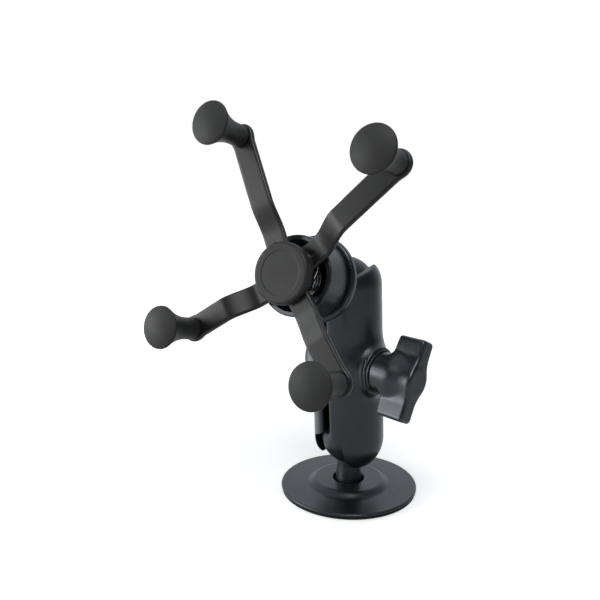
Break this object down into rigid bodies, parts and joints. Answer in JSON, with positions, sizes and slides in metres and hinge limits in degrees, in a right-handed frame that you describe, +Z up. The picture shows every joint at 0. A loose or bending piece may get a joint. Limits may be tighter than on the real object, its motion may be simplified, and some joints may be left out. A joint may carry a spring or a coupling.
{
  "type": "phone mount",
  "caption": "Phone mount: sprung cradle of crossed bars with flared rubber pegs, on a ball-and-socket clamp arm with a wing knob and a round stick-on base.",
  "frame": {"origin": "centre of the adhesive pad's underside", "axes": "+Z up, away from the surface that the base is stuck to; the cradle faces -Y; +X on the wing knob's side, with the clamp bolt turned 15 degrees from it towards -Y"},
  "size_m": [0.0973, 0.1177, 0.1724],
  "materials": {
    "composite": "satin",
    "rubber": "matte",
    "coated_steel": "semi-gloss",
    "bright_steel": "bright",
    "brass": "machined",
    "adhesive": "matte"
  },
  "bodies": {
    "base": {"base_disc": "composite", "adhesive_pad": "adhesive", "lower_ball_post": "composite"},
    "lower_ball": {"lower_ball_rubber": "rubber"},
    "arm": {"arm_half_knob_side": "composite", "knob_washer": "coated_steel", "clamp_spring": "bright_steel"},
    "knob": {"wing_knob": "composite", "knob_insert": "brass"},
    "bolt_side": {"arm_half_bolt_side": "composite", "clamp_bolt": "bright_steel"},
    "upper_ball": {"upper_ball_rubber": "rubber"},
    "cradle": {"ball_plate": "composite", "hub_housing": "composite", "plate_screw_1": "coated_steel", "plate_screw_2": "coated_steel", "plate_screw_3": "coated_steel", "plate_screw_4": "coated_steel", "pivot_bolt": "coated_steel", "pivot_nut": "bright_steel", "rear_washer": "bright_steel", "middle_washer": "bright_steel", "hub_cap": "rubber", "grip_spring": "bright_steel"},
    "rear_grip": {"rear_bar": "coated_steel", "peg_upper_right": "composite", "peg_lower_left": "composite", "peg_cap_upper_right": "rubber", "peg_cap_lower_left": "rubber"},
    "front_grip": {"front_bar": "coated_steel", "peg_upper_left": "composite", "peg_lower_right": "composite", "peg_cap_upper_left": "rubber", "peg_cap_lower_right": "rubber"}
  },
  "joints": [
    {"name": "base_swivel", "type": "hinge", "parent": "base", "child": "lower_ball", "pos_m": [0, 0, 0.026], "axis": [0, 0, 1], "continuous": true},
    {"name": "arm_tilt", "type": "hinge", "parent": "lower_ball", "child": "arm", "pos_m": [0, 0, 0.026], "axis": [-0.9659, 0.2581, 0.019], "range_deg": [-20, 75]},
    {"name": "knob_turn", "type": "hinge", "parent": "arm", "child": "knob", "pos_m": [0, -0.00264, 0.0619], "axis": [0.9659, -0.2581, -0.019], "range_deg": [0, 720]},
    {"name": "clamp_open", "type": "slide", "parent": "arm", "child": "bolt_side", "axis": [-0.9659, 0.2581, 0.019], "range_m": [0, 0.00254], "deforming": ["clamp_spring"]},
    {"name": "cradle_tilt", "type": "hinge", "parent": "arm", "child": "upper_ball", "pos_m": [0, -0.00527, 0.09781], "axis": [-1, 0, 0], "range_deg": [-2, 70]},
    {"name": "cradle_swivel", "type": "hinge", "parent": "upper_ball", "child": "cradle", "pos_m": [0, -0.00527, 0.09781], "axis": [0, -0.9763, 0.2164], "continuous": true},
    {"name": "rear_bar_swing", "type": "hinge", "parent": "cradle", "child": "rear_grip", "pos_m": [0, -0.00527, 0.09781], "axis": [0, -0.9763, 0.2164], "range_deg": [-20, 8], "stiffness_Nm_per_rad": 0.5, "deforming": ["grip_spring"]},
    {"name": "front_bar_swing", "type": "hinge", "parent": "cradle", "child": "front_grip", "pos_m": [0, -0.00527, 0.09781], "axis": [0, -0.9763, 0.2164], "range_deg": [-8, 20], "stiffness_Nm_per_rad": 0.5}
  ],
  "couplings": [
    {"joint": "knob_turn", "follows": "clamp_open", "rad_per_m": 4947.4},
    {"joint": "front_bar_swing", "follows": "rear_bar_swing", "ratio": -1}
  ]
}
